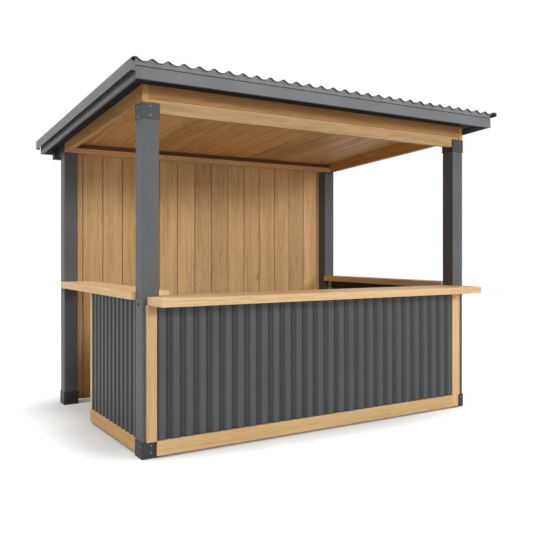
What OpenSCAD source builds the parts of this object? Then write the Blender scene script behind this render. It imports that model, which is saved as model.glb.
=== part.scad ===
// Garden bar pavilion: four posts, three counters on half-height walls clad in
// corrugated sheet, a boarded back wall and a corrugated roof falling to the rear.
// Lengths are in millimetres. X runs along the front, Y to the back, Z up.

/* [Frame] */
// Width over the outer faces of the posts
frame_w = 3000; // [2400:10:4200]
// Depth over the outer faces of the posts
frame_d = 2000; // [1700:10:2800]
// Side of a square post
post_s = 120; // [90:5:150]
// Height of the front posts
front_post_h = 2354; // [2200:10:2600]
// Height of the post shoes
shoe_h = 112; // [90:1:140]
// Depth of the sleeves on the front post tops
sleeve_h = 108; // [90:1:140]
// Plate thickness of the shoes and sleeves
shoe_t = 5; // [3:0.5:8]
// Corner radius of the shoes and sleeves
shoe_r = 5; // [2:0.5:5]

/* [Beams under the roof] */
// Thickness of the side rake boards
rake_t = 45; // [30:1:60]
// Depth of the rake boards over the front face of the front posts
rake_front_h = 128; // [110:1:180]
// Depth of the rake boards over the back face of the back posts
rake_back_h = 78; // [68:1:105]
// Thickness of the front beam and of the header board on it
front_beam_t = 45; // [35:1:60]
// How far the front beam hangs below the front post tops
front_beam_drop = 66; // [40:1:100]
// How far the front beam rises over the front post tops
front_beam_rise = 26; // [15:1:40]
// How far the front beam's face stands behind the header's face
front_beam_setback = 6; // [0:1:20]
// Height of the back beam's front lip
back_lip_h = 45; // [30:1:60]
// Depth of the recess above the back beam's lip
back_recess = 25; // [10:1:50]

/* [Roof] */
// Fall of the roof to the rear, in degrees
roof_pitch = 4.2; // [3:0.1:5]
// Overhang of the fascia at the front, along the slope
overhang_front = 207; // [120:1:300]
// Overhang of the fascia behind the posts, along the slope
overhang_back = 237; // [200:1:320]
// Overhang of the fascia at each side
overhang_side = 124; // [80:1:250]
// Thickness of the roof boards
deck_t = 20; // [15:1:30]
// Width of one ceiling board
ceiling_board_w = 187.5; // [100:0.5:250]
// Height of the fascia boards
fascia_h = 78.5; // [60:0.5:120]
// How far the fascia stands up past the underside of the roof boards
fascia_rise = 30; // [20:1:40]
// Thickness of the fascia boards
fascia_t = 18; // [12:1:25]
// Depth of the underside of the eaves soffit below the roof boards' underside
soffit_drop = 12; // [5:1:20]
// Height of the battens on the roof boards
batten_h = 40; // [30:1:60]
// Width of a batten
batten_w = 45; // [30:1:70]
// Number of battens
batten_count = 5; // [3:1:8]
// Height of the shadow gap between the front fascia and the eaves closure
shadow_gap = 5; // [3:1:9]
// Width of one wave of the roof sheet
roof_pitch_w = 109.4; // [80:0.2:150]
// Depth of a roof wave, from trough to crest
roof_wave_h = 21; // [14:1:30]
// How narrow the crests are: 1 for an even wave, more for narrow crests and broad troughs
roof_crest_power = 1.5; // [1:0.1:2]
// Distance of the first crest outside the left face of the posts
roof_first_crest = 124; // [118:1:140]
// How far the roof sheet runs past the left fascia
sheet_left = 15; // [5:1:20]
// How far the roof sheet runs past the right fascia
sheet_right = 66; // [55:1:80]
// How far the roof sheet runs past the closure at the front
sheet_front = 14; // [5:1:30]
// How far the roof sheet runs past the back fascia
sheet_back = 40; // [20:1:80]
// Height of the left verge trim, from its foot to the crests of the sheet
verge_h = 87; // [60:1:100]
// Distance of the left verge trim's outer face outside the first crest
verge_out = 31; // [27:1:40]
// How far the left verge trim's shoulder lies below the crests
verge_shoulder = 10; // [0:1:12]
// How far the lips of the verge trims reach to both sides of a crest
verge_lip = 8; // [6:1:12]
// Height of the right verge trim
verge_right_h = 32; // [25:1:45]

/* [Rear eaves rail] */
// Distance of the rail's inner face behind the posts
rail_back_gap = 100; // [60:1:120]
// Thickness of the rail
rail_back_t = 75; // [50:1:80]
// Depth of the rail's rear face below the roof boards
rail_back_h = 104; // [85:1:130]
// Length of the rail past the posts at each side
rail_back_end = 30; // [0:1:60]
// Width of the arms that carry the rail
arm_w = 40; // [25:1:60]
// Height of the arms' underside above the rail's underside
arm_rise = 30; // [15:1:50]
// Thickness of the arms' plates on the rear ends of the rake boards
arm_plate_t = 4; // [3:1:8]

/* [Back wall] */
// Width of one wall board
wall_board_w = 190; // [100:0.5:250]
// Distance from the left face of the posts to the first joint between wall boards
wall_first_joint = 200; // [60:1:250]
// Thickness of the wall boards
wall_board_t = 18; // [12:1:25]
// Distance from the outer faces of the posts to the wall's ends
wall_end_in = 6; // [0:1:20]
// Distance from the outer faces of the posts to the ends of the rails behind the wall
wall_rail_in = 60; // [20:1:100]
// Height of the wall boards' lower ends above the ground
wall_foot = 15; // [5:1:40]
// Width and depth of the grooves between boards
board_groove = 5; // [3:0.5:8]
// Height of the rails behind the wall boards
wall_rail_h = 70; // [50:1:100]
// Thickness of the rails behind the wall boards
wall_rail_t = 40; // [25:1:45]

/* [Counters] */
// Height of the front counter's top
counter_h = 1070; // [1000:5:1150]
// Height of the side shelves' top above the front counter's top
shelf_rise = 30; // [0:1:55]
// Thickness of the counter and shelf tops
top_t = 55; // [35:1:70]
// Overhang of the front counter in front of the posts
counter_out = 246; // [150:1:300]
// Distance from the left face of the posts to the counter's left end
counter_left = 34; // [0:1:60]
// Distance from the counter's right end to the right face of the posts
counter_right = 40; // [0:1:60]
// Overhang of the side shelves outside the posts
shelf_out = 30; // [0:1:40]
// Width of the left shelf
left_shelf_w = 275; // [160:1:300]
// Width of the right shelf
right_shelf_w = 165; // [120:1:300]

/* [Half-height walls] */
// Height of the bottom rails' underside above the ground
rail_foot = 15; // [5:1:40]
// Height of a bottom rail
rail_h = 100; // [60:1:140]
// Thickness of a bottom rail
rail_t = 68; // [60:1:90]
// How far the front rail and stiles stand out from the posts
rail_out = 25; // [22:1:40]
// Distance of the side rails behind the outer faces of the posts
side_inset = 5; // [0:1:20]
// Height of a top rail
top_rail_h = 70; // [45:1:100]
// Distance from the left face of the posts to the left stile of the front wall
left_stile_in = 24; // [0:1:40]
// Distance from the left face of the posts to the left stile's right edge, where the front rail starts
left_stile_end = 95; // [80:1:110]
// Width of the right stile on the front wall
right_stile_w = 88; // [60:1:110]
// Distance from the right stile to the right face of the posts
right_stile_in = 62; // [40:1:70]
// Distance from the right face of the posts to the right stile's foot, where it meets the shoe
right_foot_in = 79; // [75:1:100]
// Length of the left wall from the front face of the posts
left_wall_l = 1140; // [800:1:1400]
// Width of the end stiles on the side walls
end_stile_w = 45; // [40:1:90]

/* [Corrugated wall sheet] */
// Width of one wave of the front sheet
front_wave_w = 100; // [60:1:140]
// Width of one wave of the side sheets
side_wave_w = 85; // [60:1:140]
// Depth of a wave, from trough to crest
wall_wave_h = 16; // [10:1:17]
// Share of a wave that is flat crest
crest_share = 0.4; // [0.2:0.05:0.5]
// Share of a wave that is flat trough
trough_share = 0.15; // [0.05:0.05:0.3]
// Distance from the left face of the posts to a trough of the front sheet
first_trough = 187; // [120:1:260]
// Thickness of the corrugated sheets
sheet_t = 2; // [1:0.5:2]

/* [Hidden] */

grey = [0.36, 0.37, 0.38];
dark_grey = [0.24, 0.25, 0.26];
wood = [0.78, 0.60, 0.40];
pale_wood = [0.86, 0.70, 0.50];

// Running gap between pieces that only lie side by side
gap = 0.2;
// Gap at the cut ends of the corrugated sheets
end_gap = 0.6;
// Points on one wave of the roof sheet
wave_steps = 16;
// Smallest part of a step between the end of a line and its next point
least_step = 0.01;
// Larger than the whole building, for cutting
far = 10000;

// Slope of the roof
slope = tan(roof_pitch);
// Level of the roof boards' underside over the posts' front face, and at a distance behind it
ceiling_h = front_post_h + rake_front_h;
function ceiling_z(y) = ceiling_h - y * slope;
// Level of the eaves soffit's underside at the same distance
function soffit_z(y) = ceiling_z(y) - soffit_drop / cos(roof_pitch);
// Height of the back posts, up to the rake boards
back_post_h = ceiling_z(frame_d) - rake_back_h;
// Underside of the rail under the rear overhang
rail_back_z = ceiling_z(frame_d + rail_back_gap + rail_back_t) - rail_back_h;

// Distances along the slope, from the line over the posts' front face
eaves_front = -overhang_front;
eaves_back = frame_d / cos(roof_pitch) + overhang_back;
ceiling_back = (frame_d + wall_board_t) / cos(roof_pitch);
// Levels square to the slope, from the underside of the roof boards
batten_top = deck_t + batten_h;
sheet_mid = batten_top + gap + (roof_wave_h + sheet_t) / 2;
fascia_low = fascia_rise - fascia_h;
// Outer faces of the side fascias
fascia_x0 = -overhang_side;
fascia_x1 = frame_w + overhang_side;
sheet_x0 = fascia_x0 - sheet_left;
sheet_x1 = fascia_x1 + sheet_right;
sheet_v0 = eaves_front - sheet_front;
sheet_v1 = eaves_back + sheet_back;
verge_x0 = -roof_first_crest - verge_out;
verge_x1 = sheet_x1 + gap + sheet_t;
// Underside and top of the verge trims' lips, over the crests of the sheet
lip_low = sheet_mid + (roof_wave_h + sheet_t) / 2 + gap;
lip_top = lip_low + sheet_t;
// Last crest of the sheet before its right edge
last_crest = floor((sheet_x1 + roof_first_crest) / roof_pitch_w) * roof_pitch_w - roof_first_crest;

// Levels of the counters and half-height walls
counter_low = counter_h - top_t;
shelf_h = counter_h + shelf_rise;
shelf_low = shelf_h - top_t;
rail_top = rail_foot + rail_h;
// Depth over the waves of a wall sheet, with room for it
wall_sheet_t = wall_wave_h + sheet_t + 2 * gap;
top_rail_t = rail_t - rail_out;
right_stile_x0 = frame_w - right_stile_in - right_stile_w;
left_sheet_l = left_wall_l - end_stile_w - post_s;
right_stile_y0 = frame_d - post_s - end_stile_w;
right_sheet_l = right_stile_y0 - post_s;

// The origin is on the ground under the middle of the building's outline
roof_back_y = sheet_v1 * cos(roof_pitch) + lip_top * sin(roof_pitch);
origin_x = (verge_x0 + verge_x1) / 2;
origin_y = (roof_back_y - counter_out) / 2;

// Moves the children from the left front corner of the posts to the origin
module place() {
  translate([-origin_x, -origin_y, 0]) children();
}

// Turns the children so that Y runs down the roof and Z stands square to it
module on_roof() {
  place() translate([0, 0, ceiling_h]) rotate([-roof_pitch, 0, 0]) children();
}

// Box between two corners
module block(low, high) {
  translate(low) cube(high - low);
}

// Runs a section drawn in Y and Z along X, from x0 to x1
module along_x(x0, x1) {
  translate([x0, 0, 0]) rotate([90, 0, 90]) linear_extrude(x1 - x0) children();
}

// Runs a section drawn in X and Z along Y, from y0 to y1
module along_y(y0, y1) {
  translate([0, y1, 0]) rotate([90, 0, 0]) linear_extrude(y1 - y0) children();
}

// Mirrors the children about the middle of the frame's width
module to_right() {
  translate([frame_w, 0, 0]) mirror([1, 0, 0]) children();
}

// Square with rounded corners, grown by a margin round a post
module rounded_square(margin, r) {
  side = post_s + 2 * margin;
  translate([-margin, -margin]) union() {
    translate([r, 0]) square([side - 2 * r, side]);
    translate([0, r]) square([side, side - 2 * r]);
    for (x = [r, side - r], y = [r, side - r]) {
      translate([x, y]) circle(r, $fn = 32);
    }
  }
}

// Height of the roof sheet's middle surface at a distance from a crest
function roof_wave(s) =
  roof_wave_h * (pow((1 + cos(360 * s / roof_pitch_w)) / 2, roof_crest_power) - 0.5);

// Line of the roof sheet from x0 to x1, moved up by a distance
function roof_line(x0, x1, up) = [
  for (x = concat(x0, roof_stops(x0, x1), x1)) [x, roof_wave(x + roof_first_crest) + up]
];

// Steps of the wave between x0 and x1, counted from the first crest
function roof_stops(x0, x1) = let(step = roof_pitch_w / wave_steps) [
  for (i = [
    ceil((x0 + roof_first_crest) / step + least_step)
      : floor((x1 + roof_first_crest) / step - least_step)
  ]) i * step - roof_first_crest
];

// Height of a wall sheet's middle surface at a distance from a crest
function wall_wave(s, width) = let(
  m = abs(s / width - round(s / width)),
  rise = ((1 - trough_share) / 2 - m) * 2 / (1 - trough_share - crest_share)
) wall_wave_h * (min(1, max(0, rise)) - 0.5);

// Line of a wall sheet from s0 to s1, with its corners
function wall_line(s0, s1, width, crest) = [
  for (s = concat(s0, wall_stops(s0, s1, width, crest), s1)) [s, wall_wave(s - crest, width)]
];

// Corners of the waves between s0 and s1
function wall_stops(s0, s1, width, crest) = let(
  foot = (1 - trough_share) / 2,
  shoulder = crest_share / 2,
  first = floor((s0 - crest) / width),
  last = ceil((s1 - crest) / width)
) [
  for (k = [first : last], d = [-foot, -shoulder, shoulder, foot])
    let(s = crest + (k + d) * width) if (s > s0 + sheet_t && s < s1 - sheet_t) s
];

// Points of a line from its end to its start
function reversed(line) = [for (i = [len(line) - 1 : -1 : 0]) line[i]];

// Section of a corrugated sheet, half its thickness to each side of a line
module sheet_section(line) {
  top = [for (p = line) [p.x, p.y + sheet_t / 2]];
  bottom = [for (p = line) [p.x, p.y - sheet_t / 2]];
  polygon(concat(top, reversed(bottom)));
}

// Section of tongued boards side by side, with a V groove over each joint
module board_section(s0, s1, first, board_w, thickness) {
  joints = [for (s = [first : board_w : s1 - board_groove]) s];
  face = [for (s = joints, d = [-1, 0, 1]) [s + d * board_groove / 2, d == 0 ? board_groove / 2 : 0]];
  polygon(concat([[s0, 0]], face, [[s1, 0], [s1, thickness], [s0, thickness]]));
}

// Post on the plate of its shoe, with the top at the given height
module post(x, y, height) {
  color(grey) place() block([x, y, shoe_t], [x + post_s, y + post_s, height]);
}

module post_front_left() {
  post(0, 0, front_post_h);
}

module post_front_right() {
  post(frame_w - post_s, 0, front_post_h);
}

module post_back_left() {
  post(0, frame_d - post_s, back_post_h);
}

module post_back_right() {
  post(frame_w - post_s, frame_d - post_s, back_post_h);
}

// Pressed steel shoe: a rounded cup round the foot of a post
module shoe(x, y) {
  translate([x, y, 0]) difference() {
    linear_extrude(shoe_h) rounded_square(shoe_t, shoe_r);
    translate([0, 0, shoe_t]) linear_extrude(shoe_h) square(post_s);
  }
}

// Front shoe, its face cut back from x0 to x1 for the timber of the front wall
module front_shoe(x, x0, x1) {
  color(dark_grey) place() difference() {
    shoe(x, 0);
    block([x0, -far, -gap], [x1, 0, shoe_h + gap]);
  }
}

module shoe_front_left() {
  front_shoe(0, left_stile_end, post_s + far);
}

module shoe_front_right() {
  front_shoe(frame_w - post_s, -far, frame_w - right_foot_in);
}

module shoe_back_left() {
  color(dark_grey) place() shoe(0, frame_d - post_s);
}

module shoe_back_right() {
  color(dark_grey) place() shoe(frame_w - post_s, frame_d - post_s);
}

// Sleeve round the top of a front post
module sleeve(x) {
  color(dark_grey) place() translate([x, 0, front_post_h - sleeve_h]) linear_extrude(sleeve_h) difference() {
    rounded_square(shoe_t, shoe_r);
    square(post_s);
  }
}

module sleeve_front_left() {
  sleeve(0);
}

module sleeve_front_right() {
  sleeve(frame_w - post_s);
}

// Front beam between the sleeves, with shoulders that rest on the posts
module front_beam() {
  low = front_post_h - front_beam_drop;
  high = front_post_h + front_beam_rise;
  y0 = front_beam_setback;
  y1 = y0 + front_beam_t;
  inner = post_s + shoe_t;
  color(wood) place() union() {
    block([inner, y0, low], [frame_w - inner, y1, high]);
    block([rake_t, y0, front_post_h], [frame_w - rake_t, y1, high]);
  }
}

// Header board from the front beam to the roof boards
module front_header() {
  low = front_post_h + front_beam_rise;
  t = front_beam_t;
  color(wood) place() along_x(rake_t, frame_w - rake_t)
    polygon([[0, low], [t, low], [t, ceiling_z(t)], [0, ceiling_z(0)]]);
}

// Tapered rake board that sits on a front and a back post
module rake() {
  back = frame_d - post_s;
  along_x(0, rake_t) polygon([
    [0, front_post_h], [post_s, front_post_h], [back, back_post_h], [frame_d, back_post_h],
    [frame_d, ceiling_z(frame_d)], [0, ceiling_z(0)]
  ]);
}

module rake_left() {
  color(wood) place() rake();
}

module rake_right() {
  color(wood) place() to_right() rake();
}

// Back beam on the back posts, with a lip below a recess
module back_beam() {
  y0 = frame_d - post_s;
  lip_top = back_post_h + back_lip_h;
  y1 = y0 + back_recess;
  color(wood) place() along_x(rake_t, frame_w - rake_t) polygon([
    [y0, back_post_h], [frame_d, back_post_h], [frame_d, ceiling_z(frame_d)],
    [y1, ceiling_z(y1)], [y1, lip_top], [y0, lip_top]
  ]);
}

// Roof boards over the room, grooved on the underside
module ceiling_boards() {
  color(wood) on_roof() along_y(0, ceiling_back)
    board_section(0, frame_w, ceiling_board_w, ceiling_board_w, deck_t);
}

// Painted soffit boards round the ceiling, out to the fascias
module eaves_soffit() {
  color(dark_grey) on_roof() translate([0, 0, -soffit_drop])
    linear_extrude(deck_t + soffit_drop) difference() {
    translate([fascia_x0 + fascia_t, eaves_front + fascia_t])
      square([fascia_x1 - fascia_x0 - 2 * fascia_t, eaves_back - eaves_front - 2 * fascia_t]);
    square([frame_w, ceiling_back + soffit_drop * slope]);
  }
}

// Battens across the roof boards, under the troughs of the sheet
module roof_battens() {
  first = eaves_front + fascia_t;
  last = eaves_back - fascia_t - batten_w;
  color(wood) on_roof() for (i = [0 : batten_count - 1]) {
    v = first + i * (last - first) / (batten_count - 1);
    block([fascia_x0 + fascia_t, v, deck_t], [fascia_x1 - fascia_t, v + batten_w, batten_top]);
  }
}

// Corrugated roof sheet
module roof_sheet() {
  color(grey) on_roof() along_y(sheet_v0, sheet_v1)
    sheet_section(roof_line(sheet_x0, sheet_x1, sheet_mid));
}

// Closure under the front edge of the sheet, cut to its waves
module eaves_closure() {
  low = fascia_rise + shadow_gap;
  top = roof_line(fascia_x0, fascia_x1, sheet_mid - sheet_t / 2 - gap);
  color(grey) on_roof() along_y(eaves_front, eaves_front + fascia_t)
    polygon(concat(top, [[fascia_x1, low], [fascia_x0, low]]));
}

// Fascia boards: the side ones run past the ends of the front and back ones
module cross_fascia(y) {
  block([fascia_x0 + fascia_t, y, fascia_low], [fascia_x1 - fascia_t, y + fascia_t, fascia_rise]);
}

module side_fascia() {
  block([fascia_x0, eaves_front, fascia_low], [fascia_x0 + fascia_t, eaves_back, fascia_rise]);
}

module fascia_front() {
  color(grey) on_roof() cross_fascia(eaves_front);
}

module fascia_back() {
  color(grey) on_roof() cross_fascia(eaves_back - fascia_t);
}

module fascia_left() {
  color(grey) on_roof() side_fascia();
}

module fascia_right() {
  color(grey) on_roof() to_right() side_fascia();
}

// Folded verge trims: each has a flat leg outside, and a lip that lies on a crest of the sheet
module verge_trim() {
  color(grey) on_roof() along_y(sheet_v0, sheet_v1) {
    left_trim();
    right_trim();
  }
}

// Section of the left one, with a sloping shoulder between leg and lip
module left_trim() {
  low = lip_top - verge_h;
  x1 = verge_x0 + sheet_t;
  fold = -roof_first_crest - verge_lip;
  lip_end = -roof_first_crest + verge_lip;
  polygon([
    [verge_x0, low], [verge_x0, lip_top - verge_shoulder], [fold, lip_top], [lip_end, lip_top],
    [lip_end, lip_low], [fold, lip_low], [x1, lip_low - verge_shoulder], [x1, low]
  ]);
}

// Section of the right one, with a level top
module right_trim() {
  low = lip_top - verge_right_h;
  x0 = last_crest - verge_lip;
  x1 = verge_x1 - sheet_t;
  polygon([
    [x0, lip_low], [x1, lip_low], [x1, low], [verge_x1, low], [verge_x1, lip_top], [x0, lip_top]
  ]);
}

// Steel rail under the rear overhang, with a chamfered inner edge
module rear_eaves_rail() {
  y0 = frame_d + rail_back_gap;
  y1 = y0 + rail_back_t;
  cut = arm_rise;
  color(dark_grey) place() along_x(-rail_back_end, frame_w + rail_back_end) polygon([
    [y0 + cut, rail_back_z], [y1, rail_back_z], [y1, soffit_z(y1)],
    [y0, soffit_z(y0)], [y0, rail_back_z + cut]
  ]);
}

// Arm that carries the rail, with a plate on the rear end of the rake board
module rear_arm() {
  low = rail_back_z + arm_rise;
  y0 = frame_d + wall_board_t;
  y1 = frame_d + rail_back_gap;
  y2 = frame_d - post_s;
  along_x(0, arm_w) polygon([[y0, low], [y1, low], [y1, soffit_z(y1)], [y0, soffit_z(y0)]]);
  along_x(-arm_plate_t, 0) polygon([
    [y2, back_post_h], [y0, back_post_h], [y0, low], [y1, low], [y1, soffit_z(y1)], [y2, soffit_z(y2)]
  ]);
}

module rear_arms() {
  color(dark_grey) place() {
    rear_arm();
    to_right() rear_arm();
  }
}

// Back wall of upright boards, notched round the shoes of the back posts
module back_wall_boards() {
  top = ceiling_z(frame_d + wall_board_t) - gap;
  reach = post_s + shoe_t + gap;
  color(wood) place() difference() {
    translate([0, frame_d, wall_foot]) linear_extrude(top - wall_foot)
      board_section(wall_end_in, frame_w - wall_end_in, wall_first_joint, wall_board_w, wall_board_t);
    for (x = [-gap, frame_w - reach]) {
      block([x, frame_d - far, 0], [x + reach + gap, frame_d + far, shoe_h + gap]);
    }
  }
}

// Rails on the rear side of the wall boards
module back_wall_rails() {
  y0 = frame_d + wall_board_t;
  color(wood) place() for (z = [shoe_h, counter_h, rail_back_z - 2 * wall_rail_h]) {
    block([wall_rail_in, y0, z], [frame_w - wall_rail_in, y0 + wall_rail_t, z + wall_rail_h]);
  }
}

// Front counter, notched round the front posts
module front_counter() {
  color(pale_wood) place() difference() {
    block([counter_left, -counter_out, counter_low], [frame_w - counter_right, post_s, counter_h]);
    block([-far, 0, 0], [post_s, far, far]);
    block([frame_w - post_s, 0, 0], [far, far, far]);
  }
}

// Side shelves between the front and back posts
module left_shelf() {
  color(pale_wood) place()
    block([-shelf_out, post_s, shelf_low], [left_shelf_w - shelf_out, frame_d - post_s, shelf_h]);
}

module right_shelf() {
  color(pale_wood) place() to_right()
    block([-shelf_out, post_s, shelf_low], [right_shelf_w - shelf_out, frame_d - post_s, shelf_h]);
}

// Left stile of the front wall, from the shoe to the counter
module front_stile_left() {
  color(wood) place()
    block([left_stile_in, -rail_out, shoe_h], [left_stile_end, 0, counter_low]);
}

// Right stile of the front wall, notched over the shoe
module front_stile_right() {
  shoe_x = frame_w - right_foot_in;
  x1 = right_stile_x0 + right_stile_w;
  color(wood) place() along_y(-rail_out, 0) polygon([
    [right_stile_x0, rail_foot], [shoe_x, rail_foot], [shoe_x, shoe_h],
    [x1, shoe_h], [x1, counter_low], [right_stile_x0, counter_low]
  ]);
}

// Bottom rail of the front wall, rebated over the left post, from the shoe's face to the right stile
module front_bottom_rail() {
  x1 = post_s + shoe_t;
  color(wood) place() translate([0, 0, rail_foot]) linear_extrude(rail_h) polygon([
    [left_stile_end, -rail_out], [right_stile_x0, -rail_out], [right_stile_x0, rail_t - rail_out],
    [x1, rail_t - rail_out], [x1, 0], [left_stile_end, 0]
  ]);
}

// Top rail between the front posts, behind the sheet and under the counter
module front_top_rail() {
  color(wood) place()
    block([post_s, 0, counter_low - top_rail_h], [frame_w - post_s, top_rail_t, counter_low]);
}

// Corrugated sheet of the front wall, on the bottom rail
module front_sheet() {
  x0 = left_stile_end + end_gap;
  crest = first_trough + front_wave_w / 2;
  color(dark_grey) place() translate([0, -wall_sheet_t / 2, rail_top]) mirror([0, 1, 0])
    linear_extrude(counter_low - rail_top)
    sheet_section(wall_line(x0, right_stile_x0 - end_gap, front_wave_w, crest));
}

// One side wall, drawn on the left: end stile, rails and sheet
module end_stile(y0) {
  block([side_inset, y0, rail_top], [side_inset + rail_t, y0 + end_stile_w, shelf_low]);
}

module bottom_rail(y1) {
  block([side_inset, post_s + shoe_t, rail_foot], [side_inset + rail_t, y1, rail_top]);
}

module top_rail(y1) {
  x0 = side_inset + wall_sheet_t;
  block([x0, post_s, shelf_low - top_rail_h], [x0 + top_rail_t, y1, shelf_low]);
}

module side_sheet(length) {
  translate([side_inset + wall_sheet_t / 2, post_s, rail_top]) rotate([0, 0, 90])
    linear_extrude(shelf_low - rail_top)
    sheet_section(wall_line(end_gap, length - end_gap, side_wave_w, side_wave_w / 2));
}

module left_end_stile() {
  color(wood) place() end_stile(left_wall_l - end_stile_w);
}

module left_bottom_rail() {
  color(wood) place() bottom_rail(left_wall_l);
}

module left_top_rail() {
  color(wood) place() top_rail(left_wall_l - end_stile_w);
}

module left_sheet() {
  color(dark_grey) place() side_sheet(left_sheet_l);
}

module right_end_stile() {
  color(wood) place() to_right() end_stile(right_stile_y0);
}

module right_bottom_rail() {
  color(wood) place() to_right() bottom_rail(frame_d - post_s - shoe_t);
}

module right_top_rail() {
  color(wood) place() to_right() top_rail(right_stile_y0);
}

module right_sheet() {
  color(dark_grey) place() to_right() side_sheet(right_sheet_l);
}

post_front_left();
post_front_right();
post_back_left();
post_back_right();
shoe_front_left();
shoe_front_right();
shoe_back_left();
shoe_back_right();
sleeve_front_left();
sleeve_front_right();
front_beam();
front_header();
rake_left();
rake_right();
back_beam();
ceiling_boards();
eaves_soffit();
roof_battens();
roof_sheet();
eaves_closure();
fascia_front();
fascia_back();
fascia_left();
fascia_right();
verge_trim();
rear_eaves_rail();
rear_arms();
back_wall_boards();
back_wall_rails();
front_counter();
left_shelf();
right_shelf();
front_stile_left();
front_stile_right();
front_bottom_rail();
front_top_rail();
front_sheet();
left_end_stile();
left_bottom_rail();
left_top_rail();
left_sheet();
right_end_stile();
right_bottom_rail();
right_top_rail();
right_sheet();
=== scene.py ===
import math

import bmesh
import bpy
from mathutils import Matrix, Vector


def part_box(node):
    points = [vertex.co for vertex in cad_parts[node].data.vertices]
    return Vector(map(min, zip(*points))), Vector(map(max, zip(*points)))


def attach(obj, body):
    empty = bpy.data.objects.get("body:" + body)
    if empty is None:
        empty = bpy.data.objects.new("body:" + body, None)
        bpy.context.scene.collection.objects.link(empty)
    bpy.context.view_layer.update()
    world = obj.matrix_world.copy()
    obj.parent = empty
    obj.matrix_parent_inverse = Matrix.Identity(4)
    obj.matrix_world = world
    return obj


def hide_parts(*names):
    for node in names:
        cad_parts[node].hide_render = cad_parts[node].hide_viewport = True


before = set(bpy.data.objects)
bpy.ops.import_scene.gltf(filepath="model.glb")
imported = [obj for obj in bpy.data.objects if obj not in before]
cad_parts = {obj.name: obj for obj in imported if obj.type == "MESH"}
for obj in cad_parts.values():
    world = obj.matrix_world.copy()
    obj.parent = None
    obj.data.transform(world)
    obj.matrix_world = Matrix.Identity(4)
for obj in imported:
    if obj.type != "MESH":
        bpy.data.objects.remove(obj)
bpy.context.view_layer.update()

# The view. The eye stands in front of the left corner, a little higher than the
# counter, and looks level towards the right end of the back wall.
PHOTO_SIZE = 533
FOCAL_PIXELS = 680.73
HORIZON_ROW = 251.46
EYE_FROM_CORNER = Vector((-1.6477, -4.2354, 1.3699))
LOOK_RIGHT = math.radians(31.61)

post_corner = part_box("post_front_left")[0]
ground_corner = Vector((post_corner.x, post_corner.y, 0))
lens = bpy.data.cameras.new("view")
lens.sensor_width = 36
lens.lens = lens.sensor_width * FOCAL_PIXELS / PHOTO_SIZE
lens.shift_y = (HORIZON_ROW - PHOTO_SIZE / 2) / PHOTO_SIZE
camera = bpy.data.objects.new("view", lens)
camera.location = ground_corner + EYE_FROM_CORNER
camera.rotation_euler = (math.radians(90), 0, -LOOK_RIGHT)
bpy.context.scene.collection.objects.link(camera)
bpy.context.scene.camera = camera
bpy.context.scene.view_settings.view_transform = "Standard"


# The studio. A pale floor that runs out to white, a world that shows white and
# lights faintly, and six softboxes: three far in front, two overhead, one on the left.
FLOOR_HALF = 40.0
FLOOR_GREY = 0.6
DIM_MIDDLE = (-0.475, 0.075, 0)
DIM_HALF = (0.975, 0.625, 0)
DIM_START = -0.3
DIM_END = 1.1
CONTACT_REACH = 0.5
AMBIENT = 0.11
BIG_SOFTBOX = 3.4
ROOF_SOFTBOX = 3.5
LOW_SOFTBOX = 2.4
FRONT_AIM = (0, 0, 1.5)
LEFT_AIM = (-1.5, 0, 1.3)

floor_mesh = bpy.data.meshes.new("studio_floor")
floor_mesh.from_pydata(
    [(x * FLOOR_HALF, y * FLOOR_HALF, 0) for x, y in ((-1, -1), (1, -1), (1, 1), (-1, 1))],
    [], [(0, 1, 2, 3)],
)
studio_floor = bpy.data.objects.new("studio_floor", floor_mesh)
bpy.context.scene.collection.objects.link(studio_floor)


class Wire:
    """A socket in a node tree: sums on it add Math nodes, and make() adds any other node."""

    def __init__(self, socket):
        self.socket = socket

    def make(self, kind, settings=None, inputs=None, output=0):
        tree = self.socket.id_data
        node = tree.nodes.new("ShaderNode" + kind)
        for key, value in (settings or {}).items():
            setattr(node, key, value)
        for key, value in (inputs or {}).items():
            if isinstance(value, Wire):
                tree.links.new(value.socket, node.inputs[key])
            else:
                node.inputs[key].default_value = value
        return Wire(node.outputs[output])

    def beside(self, output):
        """Another output of the same node."""
        return Wire(self.socket.node.outputs[output])

    def math(self, operation, *others):
        return self.make("Math", {"operation": operation}, dict(enumerate((self, *others))))

    def feed(self, target):
        self.socket.id_data.links.new(self.socket, target)

    def __add__(self, other):
        return self.math("ADD", other)

    __radd__ = __add__

    def __mul__(self, other):
        return self.math("MULTIPLY", other)

    __rmul__ = __mul__

    def __sub__(self, other):
        return self.math("SUBTRACT", other)

    def __rsub__(self, other):
        return self * -1.0 + other

    def stretched(self, x, y, z):
        return self.make("VectorMath", {"operation": "MULTIPLY"}, {0: self, 1: (x, y, z)})

    def ramp(self, low, high, to_low=0.0, to_high=1.0):
        """The value moved from low..high to to_low..to_high, with soft ends."""
        return self.make(
            "MapRange", {"interpolation_type": "SMOOTHSTEP"},
            {"Value": self, 1: low, 2: high, 3: to_low, 4: to_high},
        )

    def tint(self, plain, full):
        """Colour from plain, where the value is 0, to full, where it is 1."""
        return self.make("Mix", {"data_type": "RGBA"}, {0: self, 6: plain, 7: full}, output=2)


def shown_only(wire):
    """1 for the rays that show a surface: seen straight, in gloss or through glass."""
    straight = wire.make("LightPath", output="Is Camera Ray")
    return straight.math("MAXIMUM", straight.beside("Is Glossy Ray")).math(
        "MAXIMUM", straight.beside("Is Transmission Ray")
    )


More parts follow.
